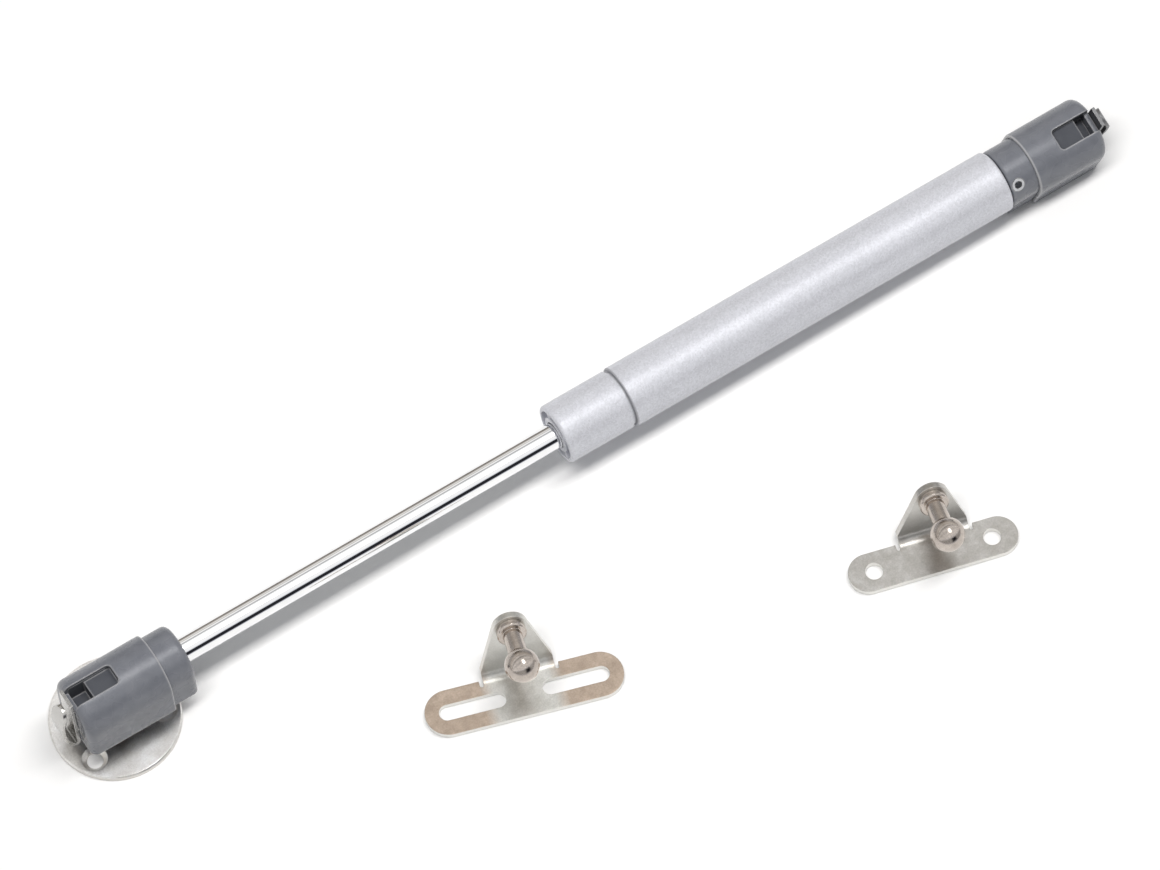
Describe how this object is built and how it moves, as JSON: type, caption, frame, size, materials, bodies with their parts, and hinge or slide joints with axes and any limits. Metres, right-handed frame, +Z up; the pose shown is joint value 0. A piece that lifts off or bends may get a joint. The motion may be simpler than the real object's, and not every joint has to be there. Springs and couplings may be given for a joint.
{
  "type": "gas flap stay",
  "caption": "Gas strut that holds a cabinet flap open, with quick-release ball sockets, a round screw-on ball plate and loose slotted and drilled ball brackets.",
  "frame": {"origin": "centre of the round plate's underside, on the surface that the set lies on", "axes": "+X along the stay from the round plate to the free socket, +Z up out of the plate's face, +Y to the side away from the loose brackets"},
  "size_m": [0.2821, 0.0911, 0.0235],
  "materials": {
    "silver_paint": "metallic silver paint",
    "chromed_rod": "bright chrome",
    "grey_plastic": "satin moulded plastic",
    "nickel_plate": "bright nickel plate on pressed steel",
    "spring_steel": "bright spring strip",
    "plain_steel": "turned steel",
    "aluminium": "turned",
    "guide_plastic": "moulded, natural",
    "seal_rubber": "black"
  },
  "bodies": {
    "cylinder": {"cylinder_tube": "silver_paint", "front_cap": "silver_paint", "dust_wiper": "seal_rubber", "guide_bush": "guide_plastic", "rod_seal": "seal_rubber", "support_washer": "plain_steel", "seal_circlip": "plain_steel", "front_o_ring": "seal_rubber", "rear_plug": "aluminium", "rear_o_ring": "seal_rubber", "rear_stud": "plain_steel", "tube_socket_core": "grey_plastic", "tube_socket_sleeve": "grey_plastic", "tube_socket_pin": "spring_steel"},
    "tube_clip": {"tube_socket_clip": "spring_steel"},
    "piston_ring": {"piston_ring": "guide_plastic"},
    "rod": {"piston_rod": "chromed_rod", "piston": "aluminium", "valve_washer": "plain_steel", "rod_socket_core": "grey_plastic", "rod_socket_sleeve": "grey_plastic"},
    "rod_clip": {"rod_socket_clip": "spring_steel"},
    "ball_stud": {"plate_ball_stud": "nickel_plate"},
    "round_plate": {"round_plate": "nickel_plate"},
    "slotted_bracket": {"slotted_bracket": "nickel_plate", "slotted_bracket_stud": "nickel_plate"},
    "two_hole_bracket": {"two_hole_bracket": "nickel_plate", "two_hole_bracket_stud": "nickel_plate"}
  },
  "joints": [
    {"name": "rod_slide", "type": "slide", "parent": "cylinder", "child": "piston_ring", "axis": [0.9998, 0, -0.0184], "range_m": [0, 0.085], "stiffness_N_per_m": 170, "springref_m": -0.3},
    {"name": "rod_spin", "type": "hinge", "parent": "piston_ring", "child": "rod", "pos_m": [0.05999, 0, 0.0139], "axis": [0.9998, 0, -0.0184], "continuous": true},
    {"name": "ball_tilt", "type": "hinge", "parent": "rod", "child": "ball_stud", "pos_m": [0, 0, 0.015], "axis": [0, 1, 0], "range_deg": [-12, 12]},
    {"name": "ball_swivel", "type": "hinge", "parent": "ball_stud", "child": "round_plate", "pos_m": [0, 0, 0], "axis": [0, 0, 1], "continuous": true},
    {"name": "rod_clip_release", "type": "slide", "parent": "rod", "child": "rod_clip", "axis": [-0.9998, 0, 0.0184], "range_m": [0, 0.0052]},
    {"name": "tube_clip_release", "type": "slide", "parent": "cylinder", "child": "tube_clip", "axis": [0.9998, 0, -0.0184], "range_m": [0, 0.0052]},
    {"name": "slotted_bracket_lift", "type": "slide", "parent": "cylinder", "child": "slotted_bracket", "axis": [0, 0, 1], "range_m": [0, 0.03]},
    {"name": "two_hole_bracket_lift", "type": "slide", "parent": "cylinder", "child": "two_hole_bracket", "axis": [0, 0, 1], "range_m": [0, 0.03]}
  ]
}
